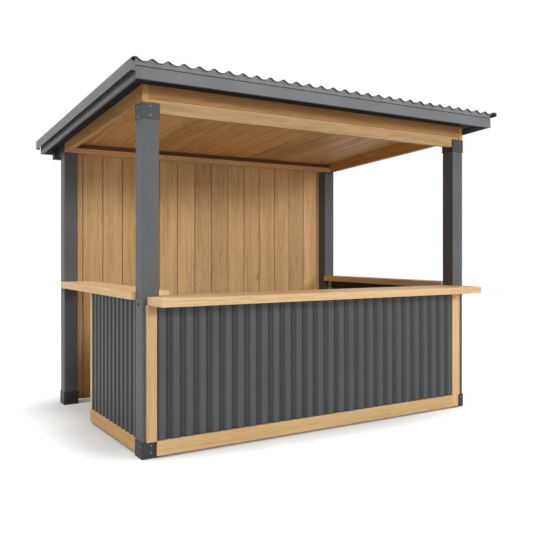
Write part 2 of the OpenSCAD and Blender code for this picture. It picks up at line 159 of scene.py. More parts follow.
floor_finish = bpy.data.materials.new("studio_floor")
floor_finish.use_nodes = True
floor_shader = floor_finish.node_tree.nodes["Principled BSDF"]
floor_shader.inputs["Base Color"].default_value = (FLOOR_GREY, FLOOR_GREY, FLOOR_GREY, 1)
floor_shader.inputs["Roughness"].default_value = 0.9
floor_shader.inputs["Specular IOR Level"].default_value = 0.0
floor_shader.inputs["Emission Strength"].default_value = 1.0

# The floor's own glow fades towards the object, so that its shadow shows. The glow is
# also darkened by ambient occlusion, which paints a contact shadow, and the dimmed area
# is set off to the left and front, where the painted shadow falls.
floor_start = Wire(floor_shader.outputs[0])
outside = floor_start.make("TexCoord", output="Object")
for operation, value in (
    ("SUBTRACT", DIM_MIDDLE), ("ABSOLUTE", (0, 0, 0)),
    ("SUBTRACT", DIM_HALF), ("MAXIMUM", (0, 0, 0)),
):
    outside = outside.make("VectorMath", {"operation": operation}, {0: outside, 1: value})
away = outside.make("VectorMath", {"operation": "LENGTH"}, {0: outside}, "Value")
painted_contact_shadow = floor_start.make("AmbientOcclusion", {"samples": 12}, {"Distance": CONTACT_REACH}, "AO")
glow = away.ramp(DIM_START, DIM_END) * painted_contact_shadow
(shown_only(floor_start) * glow).feed(floor_shader.inputs["Emission Color"])
floor_mesh.materials.append(floor_finish)

world = bpy.data.worlds.new("studio")
world.use_nodes = True
bpy.context.scene.world = world
background = world.node_tree.nodes["Background"]
background.inputs["Color"].default_value = (1, 1, 1, 1)
world_light = shown_only(Wire(background.outputs[0])) * (1 - AMBIENT) + AMBIENT
world_light.feed(background.inputs["Strength"])

for name, spot, aim, size, power in (
    ("front_softbox", (-1.0, -18.0, 5.8), FRONT_AIM, BIG_SOFTBOX, 900),
    ("front_low_softbox", (-1.0, -18.0, 2.4), FRONT_AIM, LOW_SOFTBOX, 300),
    ("front_right_softbox", (7.0, -14.5, 5.6), FRONT_AIM, BIG_SOFTBOX, 640),
    ("overhead_softbox", (2.0, -3.2, 7.5), (0, -1.2, 1.0), ROOF_SOFTBOX, 133),
    ("overhead_left_softbox", (-4.5, 0.5, 9.0), LEFT_AIM, ROOF_SOFTBOX, 290),
    ("left_softbox", (-11.0, 0.0, 8.0), LEFT_AIM, ROOF_SOFTBOX, 560),
):
    lamp = bpy.data.lights.new(name, "AREA")
    lamp.shape = "SQUARE"
    lamp.size = size
    lamp.energy = power
    softbox = bpy.data.objects.new(name, lamp)
    softbox.location = spot
    softbox.rotation_euler = (Vector(aim) - Vector(spot)).to_track_quat("-Z", "Y").to_euler()
    bpy.context.scene.collection.objects.link(softbox)


# The posts. Four square timbers with a satin grey paint; their long edges are
# rounded by a few millimetres, and each stands on the plate of its steel shoe.
POST_EDGE = 0.004
SHARP_ANGLE = math.radians(38)
GRAIN_SHIFT = 17.3


def shade_of(number):
    """A steady value from 0 to 1 that looks random from one number to the next."""
    return math.sin(number * 12.9898 + 4.1414) * 43758.5453 % 1


def bar(axis, outline, start, end):
    """Corners and faces of a straight bar with the given section across X, Y or Z."""
    across = [i for i in range(3) if i != axis]
    corners = []
    for place in (start, end):
        for point in outline:
            corner = [0, 0, 0]
            corner[axis] = place
            corner[across[0]], corner[across[1]] = point
            corners.append(corner)
    n = len(outline)
    sides = [(i, (i + 1) % n, (i + 1) % n + n, i + n) for i in range(n)]
    return corners, [tuple(range(n)), tuple(range(n, 2 * n)), *sides]


def box_bar(low, high, axis=2):
    """The same for a plain bar between two corners, running along one axis."""
    a, b = [i for i in range(3) if i != axis]
    outline = [(low[a], low[b]), (high[a], low[b]), (high[a], high[b]), (low[a], high[b])]
    return bar(axis, outline, low[axis], high[axis])


def place_piece(name, mesh, finishes, nodes):
    """Puts a mesh in the scene as a piece that stands for CAD nodes."""
    mesh.set_sharp_from_angle(angle=SHARP_ANGLE)
    for finish in finishes:
        mesh.materials.append(finish)
    piece = bpy.data.objects.new(name, mesh)
    bpy.context.scene.collection.objects.link(piece)
    piece.modifiers.new("normals", "WEIGHTED_NORMAL").keep_sharp = True
    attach(piece, "root")
    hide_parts(*nodes)


def add_bars(name, bars, edge, along, finish, nodes, turn=Matrix(), seed=0):
    """One piece from several bars with rounded edges. The attribute grain is a point's
    place in its own timber, lengthwise first, and board is a shade from 0 to 1."""
    corners, faces, grain, board = [], [], [], []
    a, b = [i for i in range(3) if i != along]
    for number, (points, sides) in enumerate(bars):
        solid = bmesh.new()
        rings = [solid.verts.new(p) for p in points]
        for side in sides:
            solid.faces.new([rings[i] for i in side])
        bmesh.ops.recalc_face_normals(solid, faces=solid.faces)
        bmesh.ops.bevel(
            solid, geom=[*solid.edges], offset=edge, segments=3, profile=0.5,
            affect="EDGES", clamp_overlap=True,
        )
        shade = shade_of(number + seed)
        middle = [sum(p[i] for p in points) / len(points) for i in range(3)]
        first = len(corners)
        solid.verts.index_update()
        for vert in solid.verts:
            p = vert.co
            grain.append((p[along] + GRAIN_SHIFT * shade, p[a] - middle[a], p[b] - middle[b]))
            board.append(shade)
            corners.append(turn @ p)
        faces += [[first + v.index for v in f.verts] for f in solid.faces]
        solid.free()
    mesh = bpy.data.meshes.new(name)
    mesh.from_pydata(corners, [], faces)
    places = mesh.attributes.new("grain", "FLOAT_VECTOR", "POINT").data
    places.foreach_set("vector", [c for place in grain for c in place])
    mesh.attributes.new("board", "FLOAT", "POINT").data.foreach_set("value", board)
    mesh.polygons.foreach_set("use_smooth", [True] * len(mesh.polygons))
    place_piece(name, mesh, [finish], nodes)


def coat_finish(name, colour, roughness, gloss=0.25, mottle=0.05, peel=0.0004):
    """A sprayed coat: faint clouds in the colour and the gloss over a fine skin."""
    material = bpy.data.materials.new(name)
    material.use_nodes = True
    shader = material.node_tree.nodes["Principled BSDF"]
    spot = Wire(shader.outputs[0]).make("TexCoord", output="Object")
    clouds = spot.make("TexNoise", {}, {"Vector": spot, "Scale": 3.5, "Detail": 5.0, "Roughness": 0.6})
    grains = spot.make("TexNoise", {}, {"Vector": spot, "Scale": 900.0, "Detail": 2.0})
    deep = tuple(c * (1 - mottle * 2) for c in colour)
    pale = tuple(c * (1 + mottle * 2) for c in colour)
    clouds.ramp(0.25, 0.75).tint((*deep, 1), (*pale, 1)).feed(shader.inputs["Base Color"])
    ((clouds - 0.5) * mottle * 2 + roughness + (grains - 0.5) * 0.08).feed(shader.inputs["Roughness"])
    skin = spot.make("Bump", {}, {"Strength": 0.3, "Distance": peel, "Height": grains})
    skin.feed(shader.inputs["Normal"])
    shader.inputs["Specular IOR Level"].default_value = gloss
    return material


post_paint = coat_finish("post_paint", (0.125, 0.129, 0.134), 0.5, gloss=0.14)
for corner in ("front_left", "front_right", "back_left", "back_right"):
    node = "post_" + corner
    add_bars(
        node + "_timber", [box_bar(*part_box(node))],
        POST_EDGE, 2, post_paint, [node],
    )


# The shoes and sleeves. Pressed steel, powder coated almost black: a cup round
# the foot of each post and an open sleeve round the top of the front ones.
CORNER_STEPS = 6
SLEEVE_ROUND = 0.005
FOOT_ROUND = 0.004
RIM_ROUND = 0.0012
MOUTH_ROUND = 0.0015
INNER_ROUND = 0.001
CUT_WALL = 0.0004
RIGHT_CUT = 2.921


def rounded_ring(middle, half, radius, height):
    """Points of a square with rounded corners, at one height, from its right rear corner."""
    ring = []
    for quarter in range(4):
        for step in range(CORNER_STEPS + 1):
            angle = math.pi / 2 * (quarter + step / CORNER_STEPS)
            sx = 1 if quarter in (0, 3) else -1
            sy = 1 if quarter in (0, 1) else -1
            ring.append((
                middle.x + sx * (half - radius) + radius * math.cos(angle),
                middle.y + sy * (half - radius) + radius * math.sin(angle),
                height,
            ))
    return ring


def cut_ring(ring, cut, keep, face):
    """The ring with its front side set back to the post's face past a cut. The side
    named by keep stays as it is."""
    kept, n = [], 3 * (CORNER_STEPS + 1)
    front = ring[n][1]
    step = [(cut, front, ring[0][2]), (cut, face, ring[0][2])]
    for i, (x, y, z) in enumerate(ring):
        if i == n:
            kept += step if keep == "left" else step[::-1]
        removed = x > cut if keep == "left" else x < cut
        kept.append((x, max(y, face) if removed else y, z))
    return kept


def loft(name, rings, ends_closed, finish, nodes):
    """A skin through rings of as many points each, closed by its ends or into a loop."""
    n = len(rings[0])
    corners = [p for ring in rings for p in ring]
    faces = []
    last = len(rings) - 1 if ends_closed else len(rings)
    for k in range(last):
        a, b = k * n, (k + 1) % len(rings) * n
        faces += [(a + i, a + (i + 1) % n, b + (i + 1) % n, b + i) for i in range(n)]
    if ends_closed:
        faces += [tuple(range(n)), tuple(range(last * n, last * n + n))]
    mesh = bpy.data.meshes.new(name)
    mesh.from_pydata(corners, [], faces)
    solid = bmesh.new()
    solid.from_mesh(mesh)
    bmesh.ops.recalc_face_normals(solid, faces=solid.faces)
    solid.to_mesh(mesh)
    solid.free()
    mesh.polygons.foreach_set("use_smooth", [True] * len(mesh.polygons))
    place_piece(name, mesh, [finish], nodes)


shoe_coat = coat_finish("shoe_coat", (0.033, 0.035, 0.037), 0.5, mottle=0.08)
post_half = (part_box("post_front_left")[1].x - post_corner.x) / 2
plate_top = post_corner.z
cuts = {
    "front_left": (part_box("front_stile_left")[1].x, "left"),
    "front_right": (post_corner.x + RIGHT_CUT, "right"),
}
for corner in ("front_left", "front_right", "back_left", "back_right"):
    low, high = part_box("shoe_" + corner)
    post_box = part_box("post_" + corner)
    middle = (post_box[0] + post_box[1]) / 2
    half = max(high.x - middle.x, middle.x - low.x)
    rings = [
        rounded_ring(middle, half - FOOT_ROUND, SLEEVE_ROUND / 2, low.z),
        rounded_ring(middle, half - FOOT_ROUND / 4, SLEEVE_ROUND, low.z + FOOT_ROUND / 3),
        rounded_ring(middle, half, SLEEVE_ROUND, low.z + FOOT_ROUND),
        rounded_ring(middle, half, SLEEVE_ROUND, high.z - RIM_ROUND),
        rounded_ring(middle, half - RIM_ROUND, SLEEVE_ROUND - RIM_ROUND, high.z),
        rounded_ring(middle, post_half + RIM_ROUND / 2, MOUTH_ROUND, high.z),
        rounded_ring(middle, post_half, INNER_ROUND, high.z - RIM_ROUND),
        rounded_ring(middle, post_half, INNER_ROUND, plate_top),
    ]
    if corner in cuts:
        rings = [cut_ring(ring, *cuts[corner], post_corner.y - CUT_WALL) for ring in rings]
    loft(
        "shoe_" + corner + "_cup", rings, ends_closed=True,
        finish=shoe_coat, nodes=["shoe_" + corner],
    )

sleeve_coat = coat_finish("sleeve_coat", (0.052, 0.054, 0.056), 0.46, mottle=0.07)
for side in ("left", "right"):
    low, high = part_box("sleeve_front_" + side)
    middle = (low + high) / 2
    half = (high.x - low.x) / 2
    rings = [
        rounded_ring(middle, half - RIM_ROUND, SLEEVE_ROUND - RIM_ROUND, low.z),
        rounded_ring(middle, half, SLEEVE_ROUND, low.z + RIM_ROUND),
        rounded_ring(middle, half, SLEEVE_ROUND, high.z - RIM_ROUND),
        rounded_ring(middle, half - RIM_ROUND, SLEEVE_ROUND - RIM_ROUND, high.z),
        rounded_ring(middle, post_half, INNER_ROUND, high.z),
        rounded_ring(middle, post_half, INNER_ROUND, low.z),
    ]
    loft(
        "sleeve_front_" + side + "_band", rings, ends_closed=False,
        finish=sleeve_coat, nodes=["sleeve_front_" + side],
    )


# The screws of the shoes and sleeves, and the bolts under the shelves. Zinc plated
# pan heads with a square recess, driven through the steel into the posts.
HEAD_SIDES = 20
HEAD_PROFILE = [(1.0, 0.0), (1.0, 0.35), (0.93, 0.68), (0.78, 0.9), (0.5, 1.0)]
RECESS_LEVELS = (1.0, 0.45)
SLEEVE_FRONT_SHARE = {"left": 0.47, "right": 0.62}
SLEEVE_FRONT_DROPS = (0.022, 0.082)
SLEEVE_SIDE_SCREWS = ((0.045, 0.03), (0.085, 0.022), (0.06, 0.09))
SLEEVE_INNER_SCREW = (0.08, 0.022)
SHOE_SIDE_SCREWS = ((0.035, 0.078), (0.092, 0.03))
SHOE_LEFT_IN = 0.066
SHOE_LEFT_LEVELS = (0.04, 0.086)
SHOE_RIGHT_IN = 0.03
SHOE_RIGHT_LEVELS = (0.034, 0.086)
BOLT_DROP = 0.026
BOLT_PLACES = (0.068, 1.932)


def heads(name, spots, radius, rise, recess, finish):
    """Pan heads: spots are pairs of a place on a surface and the way the head faces."""
    turns = [math.tau * i / HEAD_SIDES for i in range(HEAD_SIDES)]
    rings = [
        [(radius * r * math.cos(a), radius * r * math.sin(a), rise * h) for a in turns]
        for r, h in HEAD_PROFILE
    ]
    for h in RECESS_LEVELS:
        square = []
        for a in turns:
            reach = recess / max(abs(math.cos(a)), abs(math.sin(a)))
            square.append((reach * math.cos(a), reach * math.sin(a), rise * h))
        rings.append(square)
    corners, faces = [], []
    for spot, facing in spots:
        turn = Vector(facing).to_track_quat("Z", "Y").to_matrix()
        first = len(corners)
        corners += [Vector(spot) + turn @ Vector(p) for ring in rings for p in ring]
        n = HEAD_SIDES
        for k in range(len(rings) - 1):
            a, b = first + k * n, first + (k + 1) * n
            faces += [(a + i, a + (i + 1) % n, b + (i + 1) % n, b + i) for i in range(n)]
        faces += [tuple(first + (len(rings) - 1) * n + i for i in range(n))]
    mesh = bpy.data.meshes.new(name)
    mesh.from_pydata(corners, [], faces)
    mesh.polygons.foreach_set("use_smooth", [True] * len(mesh.polygons))
    place_piece(name, mesh, [finish], [])


def plated_finish(name, colour, roughness):
    """Bright plating with faint brushed clouds."""
    material = bpy.data.materials.new(name)
    material.use_nodes = True
    shader = material.node_tree.nodes["Principled BSDF"]
    spot = Wire(shader.outputs[0]).make("TexCoord", output="Object")
    haze = spot.make("TexNoise", {}, {"Vector": spot, "Scale": 260.0, "Detail": 4.0})
    deep = tuple(c * 0.82 for c in colour)
    haze.ramp(0.3, 0.7).tint((*deep, 1), (*colour, 1)).feed(shader.inputs["Base Color"])
    (haze * 0.16 + (roughness - 0.08)).feed(shader.inputs["Roughness"])
    scuff = spot.make("Bump", {}, {"Strength": 0.25, "Distance": 0.0002, "Height": haze})
    scuff.feed(shader.inputs["Normal"])
    shader.inputs["Metallic"].default_value = 1.0
    return material


zinc = plated_finish("zinc_plating", (0.42, 0.43, 0.44), 0.5)
screw_spots = []
for side, out in (("left", -1), ("right", 1)):
    low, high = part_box("sleeve_front_" + side)
    inner = high.x if out < 0 else low.x
    outer = low.x if out < 0 else high.x
    across = low.x + SLEEVE_FRONT_SHARE[side] * (high.x - low.x)
    for drop in SLEEVE_FRONT_DROPS:
        screw_spots.append(((across, low.y, high.z - drop), (0, -1, 0)))
    for y, drop in SLEEVE_SIDE_SCREWS:
        screw_spots.append(((outer, low.y + y, high.z - drop), (out, 0, 0)))
    y, rise = SLEEVE_INNER_SCREW
    screw_spots.append(((inner, low.y + y, low.z + rise), (-out, 0, 0)))
    for corner in ("front_" + side, "back_" + side):
        low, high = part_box("shoe_" + corner)
        outer = low.x if out < 0 else high.x
        for y, z in SHOE_SIDE_SCREWS:
            screw_spots.append(((outer, low.y + y, z), (out, 0, 0)))
        if corner == "front_left":
            screw_spots += [((low.x + SHOE_LEFT_IN, low.y, z), (0, -1, 0)) for z in SHOE_LEFT_LEVELS]
        if corner == "front_right":
            screw_spots += [((high.x - SHOE_RIGHT_IN, low.y, z), (0, -1, 0)) for z in SHOE_RIGHT_LEVELS]
heads(
    "steel_screws", screw_spots, radius=0.004, rise=0.002, recess=0.0015,
    finish=zinc,
)

bolt_coat = coat_finish("bolt_coat", (0.02, 0.02, 0.021), 0.55)
bolt_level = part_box("left_shelf")[0].z - BOLT_DROP
post_right_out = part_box("post_front_right")[1].x
bolt_spots = [
    ((x, post_corner.y + y, bolt_level), (out, 0, 0))
    for x, out in ((post_corner.x, -1), (post_right_out, 1)) for y in BOLT_PLACES
]
heads(
    "post_bolts", bolt_spots, radius=0.0095, rise=0.005, recess=0.004,
    finish=bolt_coat,
)


# The beams. Planed softwood, oiled to a honey colour: the front beam with its
# shoulders on the posts, the header on it, the tapered side rakes, and the back beam
# with a lip below a recess. The header's darker finish is painted shade, the rakes'
# more saturated one a painted warm shade, the recess's near-black one painted shade
# and the lip's paler one painted light.
BEAM_EDGE = 0.003
LIP_H = 0.045
RECESS_IN = 0.025
RING_PITCH = 0.01
KNOT_CHANCE = 0.45


def timber_finish(name, pale, warm, line, roughness=0.55, gloss=0.15):
    """Oiled softwood: soft bands of tone, faint growth rings, short flecks, fine fibres and
    a few small knots, all running with the timber by its grain attribute."""
    material = bpy.data.materials.new(name)
    material.use_nodes = True
    shader = material.node_tree.nodes["Principled BSDF"]
    start = Wire(shader.outputs[0])
    grain = start.make("Attribute", {"attribute_name": "grain"}, output="Vector")
    board = start.make("Attribute", {"attribute_name": "board"}, output="Fac")

    def noise(lengthwise, crosswise, detail):
        """Noise with so many waves in a metre along the timber and across it."""
        stretched = grain.stretched(lengthwise, crosswise, crosswise)
        return grain.make("TexNoise", {}, {"Vector": stretched, "Scale": 1.0, "Detail": detail})

    cells = {"Vector": grain.stretched(1.9, 5.2, 3.0), "Scale": 1.0}
    cell = grain.make("TexVoronoi", {}, cells, "Distance")
    chance = grain.make("SeparateColor", {}, {"Color": cell.beside("Color")})
    kept = chance.math("GREATER_THAN", KNOT_CHANCE)
    knot = cell.ramp(0.05, 0.022) * kept
    halo = cell.ramp(0.2, 0.03) * kept
    drift = noise(0.7, 8.0, 2.0)
    along = grain.make("SeparateXYZ", {}, {"Vector": grain})
    across, depth = along.beside(1), along.beside(2)
    from_pith = across + (board - 0.5) * 0.22 + (drift - 0.5) * 0.07
    below = depth + along * 0.008 + 0.04
    radius = (from_pith * from_pith + below * below).math("SQRT") + halo * 0.014
    rings = (radius * (math.tau / RING_PITCH)).math("SINE") * 0.5 + 0.5
    patches = noise(1.1, 5.0, 2.0)
    bands = noise(1.5, 30.0, 4.0)
    flecks = noise(9.0, 190.0, 3.0)
    fibres = noise(11.0, 520.0, 2.0)
    late = rings.math("POWER", 3.0) * patches.ramp(0.35, 0.7, 0.0, 0.3)
    streak = (
        late + bands.ramp(0.3, 0.75) * 0.42 + (patches - 0.5) * 0.55 + (flecks - 0.5) * 1.5
        + (fibres - 0.5) * 0.24 + halo * 0.3 + 0.12
    )
    flat = streak.ramp(0.0, 1.0).tint((*pale, 1), (*warm, 1))
    tone = (board - 0.5) * 0.24 + 1.0
    shaded = flat.make("VectorMath", {"operation": "SCALE"}, {0: flat, "Scale": tone})
    knot.tint(shaded, (*line, 1)).feed(shader.inputs["Base Color"])
    (streak * 0.12 + (roughness - 0.06)).feed(shader.inputs["Roughness"])
    ridge = grain.make("Bump", {}, {
        "Strength": 0.4, "Distance": 0.0007, "Height": late * -0.6 + fibres * 0.6 - knot * 0.4,
    })
    ridge.feed(shader.inputs["Normal"])
    shader.inputs["Specular IOR Level"].default_value = gloss
    return material


beam_wood = timber_finish("oiled_beams", (0.53, 0.335, 0.163), (0.368, 0.206, 0.089), (0.162, 0.079, 0.034))
# The header's darker copy of the oiled wood is painted shade from the overhang above it.
header_painted_shade_wood = timber_finish("header_painted_shade", (0.44, 0.225, 0.083), (0.31, 0.145, 0.048), (0.16, 0.075, 0.03))
# The rakes' own copy of the oiled wood is more saturated: a painted warm shade tint.
rake_painted_shade_tint_wood = timber_finish("rakes_painted_shade_tint", (0.74, 0.4, 0.146), (0.45, 0.21, 0.066), (0.16, 0.075, 0.03))
# The back beam's recess is near black as painted shade, and its lip paler as painted light.
recess_painted_shade_wood = timber_finish("recess_painted_shade", (0.2, 0.105, 0.04), (0.13, 0.065, 0.024), (0.08, 0.04, 0.02))
lip_painted_light_wood = timber_finish("lip_painted_light", (0.78, 0.49, 0.245), (0.59, 0.345, 0.16), (0.17, 0.085, 0.04))
roof_pitch = math.radians(4.2)
slope = math.tan(roof_pitch)
header_low, header_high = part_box("front_header")


def ceiling_at(y):
    """Level of the roof boards' underside at a distance behind the posts' front face."""
    return header_high.z - (y - post_corner.y) * slope


low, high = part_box("front_beam")
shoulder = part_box("post_front_left")[1].z
sleeve_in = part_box("sleeve_front_left")[1].x
sleeve_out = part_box("sleeve_front_right")[0].x
outline = [
    (sleeve_in, low.z), (sleeve_out, low.z), (sleeve_out, shoulder), (high.x, shoulder),
    (high.x, high.z), (low.x, high.z), (low.x, shoulder), (sleeve_in, shoulder),
]
add_bars(
    "front_beam_timber", [bar(1, outline, low.y, high.y)],
    BEAM_EDGE, 0, beam_wood, ["front_beam"], seed=3,
)

outline = [
    (header_low.y, header_low.z), (header_high.y, header_low.z),
    (header_high.y, ceiling_at(header_high.y)), (header_low.y, ceiling_at(header_low.y)),
]
add_bars(
    "front_header_timber", [bar(0, outline, header_low.x, header_high.x)],
    BEAM_EDGE, 0, header_painted_shade_wood, ["front_header"], seed=5,
)

back_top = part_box("post_back_left")[1].z
behind_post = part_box("post_front_left")[1].y
before_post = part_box("post_back_left")[0].y
for side in ("left", "right"):
    low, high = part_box("rake_" + side)
    outline = [
        (low.y, shoulder), (behind_post, shoulder), (before_post, back_top), (high.y, back_top),
        (high.y, ceiling_at(high.y)), (low.y, ceiling_at(low.y)),
    ]
    add_bars(
        "rake_" + side + "_timber", [bar(0, outline, low.x, high.x)],
        BEAM_EDGE, 1, rake_painted_shade_tint_wood, ["rake_" + side], seed=7 if side == "left" else 11,
    )

low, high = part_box("back_beam")
lip_top = low.z + LIP_H
recess = low.y + RECESS_IN
outline = [
    (recess, lip_top), (high.y, lip_top), (high.y, ceiling_at(high.y)), (recess, ceiling_at(recess)),
]
# Painted shade on the recess above the lip; painted light on the lip below.
add_bars(
    "back_beam_timber", [bar(0, outline, low.x, high.x)],
    BEAM_EDGE, 0, recess_painted_shade_wood, ["back_beam"], seed=13,
)
lip = box_bar(low, (high.x, high.y, lip_top), 0)
add_bars("back_beam_lip", [lip], BEAM_EDGE, 0, lip_painted_light_wood, [], seed=15)


# The roof boards. Tongued boards laid from front to back over the beams, oiled
# where they make the ceiling; round it, dark soffit boards close the overhang, their
# dark grey paint lowered to near black as painted shade.
BOARD_W = 0.1875
BOARD_EDGE = 0.003
BOARD_GAP = 0.006
TONGUE_DEPTH = 0.008
TONGUE_T = 0.005
TONGUE_EDGE = 0.0004
SOFFIT_T = 0.012

roof_corner = Matrix.Translation((post_corner.x, post_corner.y, header_high.z))
to_roof = roof_corner @ Matrix.Rotation(-roof_pitch, 4, "X")


def roof_box(node):
    """Corners of a node in the roof's own axes: across, down the slope, square to it."""
    points = [to_roof.inverted() @ v.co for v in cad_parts[node].data.vertices]
    return (
        Vector([min(p[i] for p in points) for i in range(3)]),
        Vector([max(p[i] for p in points) for i in range(3)]),
    )


board_wood = timber_finish(
    "oiled_ceiling_boards", (0.77, 0.445, 0.175), (0.46, 0.225, 0.076), (0.17, 0.081, 0.032),
)
tongue_wood = timber_finish(
    "board_tongues", (0.26, 0.135, 0.055), (0.18, 0.09, 0.038), (0.1, 0.05, 0.025), roughness=0.7,
)
low, high = roof_box("ceiling_boards")
joints = [low.x + BOARD_W * i for i in range(1, round((high.x - low.x) / BOARD_W))]
ends = [low.x - BOARD_GAP / 2, *joints, high.x + BOARD_GAP / 2]
planks = [
    box_bar((a + BOARD_GAP / 2, low.y, low.z), (b - BOARD_GAP / 2, high.y, high.z), 1)
    for a, b in zip(ends, ends[1:])
]
add_bars(
    "ceiling_planks", planks, BOARD_EDGE, 1,
    board_wood, ["ceiling_boards"], turn=to_roof, seed=20,
)
tongue_low = low.z + TONGUE_DEPTH
tongues = [
    box_bar((x - BOARD_GAP, low.y, tongue_low), (x + BOARD_GAP, high.y, tongue_low + TONGUE_T), 1)
    for x in joints
]
add_bars("ceiling_tongues", tongues, TONGUE_EDGE, 1, tongue_wood, [], turn=to_roof, seed=20)

# Dark grey paint, lowered to near black: painted shade under the overhang.
soffit_paint = coat_finish("soffit_paint", (0.014, 0.0145, 0.0155), 0.7, gloss=0.1)
outer_low, outer_high = roof_box("eaves_soffit")
rear_edge = high.y + SOFFIT_T * slope
strips = [
    (outer_low, Vector((outer_high.x, low.y, outer_high.z))),
    (Vector((outer_low.x, rear_edge, outer_low.z)), outer_high),
    (Vector((outer_low.x, low.y, outer_low.z)), Vector((low.x, rear_edge, outer_high.z))),
    (Vector((high.x, low.y, outer_low.z)), Vector((outer_high.x, rear_edge, outer_high.z))),
]
add_bars(
    "soffit_planks", [box_bar(a, b, 0) for a, b in strips], BOARD_EDGE / 2, 0,
    soffit_paint, ["eaves_soffit"], turn=to_roof,
)


# The battens. Five sawn laths nailed across the roof boards, under the troughs of
# the sheet.
BATTENS = 5
BATTEN_W = 0.045
BATTEN_EDGE = 0.002

low, high = roof_box("roof_battens")
batten_top = high.z
batten_step = (high.y - low.y - BATTEN_W) / (BATTENS - 1)
batten_runs = [low.y + i * batten_step for i in range(BATTENS)]
laths = [box_bar((low.x, run, low.z), (high.x, run + BATTEN_W, high.z), 0) for run in batten_runs]
sawn_wood = timber_finish(
    "sawn_laths", (0.6, 0.42, 0.24), (0.45, 0.29, 0.15), (0.17, 0.085, 0.04), roughness=0.75,
)
add_bars(
    "roof_batten_laths", laths, BATTEN_EDGE, 0,
    sawn_wood, ["roof_battens"], turn=to_roof, seed=40,
)


# The roof sheet. Corrugated steel with a satin grey coat above and a dark back coat
# below, laid down the slope and screwed through its crests to the battens. The back
# coat is made near black: painted shade under the sheet's front edge.
ROOF_WAVE_W = 0.1094
ROOF_WAVE_H = 0.021
ROOF_CREST_POWER = 1.5
FIRST_CREST = 0.124
SHEET_T = 0.002
SHEET_GAP = 0.0002
WAVE_STEPS = 24
STOP_GUARD = 0.01
SCREW_MARGIN = 0.1
WASHER_SINK = 0.0004
WASHER_LIFT = 0.0016

sheet_middle = batten_top + SHEET_GAP + (ROOF_WAVE_H + SHEET_T) / 2


def roof_wave(s):
    """Height of the sheet's middle surface at a place across the roof."""
    turn = math.tau * (s + FIRST_CREST) / ROOF_WAVE_W
    return sheet_middle + ROOF_WAVE_H * (((1 + math.cos(turn)) / 2) ** ROOF_CREST_POWER - 0.5)


def wave_stops(start, end):
    """Places across the roof where the sheet has a corner."""
    step = ROOF_WAVE_W / WAVE_STEPS
    first = math.ceil((start + FIRST_CREST) / step + STOP_GUARD)
    last = math.floor((end + FIRST_CREST) / step - STOP_GUARD)
    return [start, *(i * step - FIRST_CREST for i in range(first, last + 1)), end]


def strip_mesh(name, lower, upper, start, end, point, under=0):
    """A solid between two edges of as many points, run from start to end. point()
    places a corner, and under is the material of the lower side."""
    n = len(lower)
    corners = [point(s, h, place) for place in (start, end) for edge in (lower, upper) for s, h in edge]
    faces, finish = [], []
    for i in range(n - 1):
        faces += [
            (i, i + 1, 2 * n + i + 1, 2 * n + i),
            (n + i, n + i + 1, 3 * n + i + 1, 3 * n + i),
            (i, i + 1, n + i + 1, n + i),
            (2 * n + i, 2 * n + i + 1, 3 * n + i + 1, 3 * n + i),
        ]
        finish += [under, 0, 0, 0]
    faces += [(0, n, 3 * n, 2 * n), (n - 1, 2 * n - 1, 4 * n - 1, 3 * n - 1)]
    finish += [0, 0]
    mesh = bpy.data.meshes.new(name)
    mesh.from_pydata(corners, [], faces)
    mesh.polygons.foreach_set("material_index", finish)
    solid = bmesh.new()
    solid.from_mesh(mesh)
    bmesh.ops.recalc_face_normals(solid, faces=solid.faces)
    solid.to_mesh(mesh)
    solid.free()
    mesh.polygons.foreach_set("use_smooth", [True] * len(mesh.polygons))
    return mesh


def on_roof(s, h, run):
    return to_roof @ Vector((s, run, h))


roof_coat = coat_finish("roof_coat", (0.2, 0.205, 0.212), 0.42, gloss=0.35)
# A dark back coat, made near black as painted shade under the sheets' edges and inner sides.
back_coat_and_painted_shade = coat_finish("back_coat_and_painted_shade", (0.045, 0.046, 0.048), 0.6)
low, high = roof_box("roof_sheet")
sheet_left, sheet_right, sheet_front, sheet_rear = low.x, high.x, low.y, high.y
stops = wave_stops(sheet_left, sheet_right)
under = [(s, roof_wave(s) - SHEET_T / 2) for s in stops]
over = [(s, roof_wave(s) + SHEET_T / 2) for s in stops]
place_piece(
    "roof_sheet_steel",
    strip_mesh("roof_sheet_steel", under, over, sheet_front, sheet_rear, on_roof, 1),
    [roof_coat, back_coat_and_painted_shade], ["roof_sheet"],
)

screw_coat = coat_finish("roof_screw_coat", (0.24, 0.245, 0.25), 0.4, gloss=0.35)
screw_spots, washer_spots = [], []
up = to_roof.to_3x3() @ Vector((0, 0, 1))
for run in batten_runs:
    crest = 2 * ROOF_WAVE_W - FIRST_CREST
    while crest < sheet_right - SCREW_MARGIN:
        top = on_roof(crest, roof_wave(crest) + SHEET_T / 2 - WASHER_SINK, run + BATTEN_W / 2)
        washer_spots.append((top, up))
        screw_spots.append((top + up * WASHER_LIFT, up))
        crest += 2 * ROOF_WAVE_W
heads(
    "roof_washers", washer_spots, radius=0.0085, rise=0.0017, recess=0.003,
    finish=back_coat_and_painted_shade,
)
heads(
    "roof_screws", screw_spots, radius=0.0052, rise=0.0032, recess=0.0018,
    finish=screw_coat,
)


# The eaves closure. A strip under the front edge of the sheet, cut to its waves,
# in the same grey as the fascia below it.
closure_coat = coat_finish("closure_coat", (0.2, 0.205, 0.212), 0.5, mottle=0.07)
low, high = roof_box("eaves_closure")
inside = wave_stops(low.x, high.x)
top_edge = [(s, roof_wave(s) - SHEET_T / 2 - SHEET_GAP) for s in inside]
base_edge = [(s, low.z) for s in inside]
place_piece(
    "eaves_closure_strip",
    strip_mesh("eaves_closure_strip", base_edge, top_edge, low.y, high.y, on_roof),
    [closure_coat], ["eaves_closure"],
)


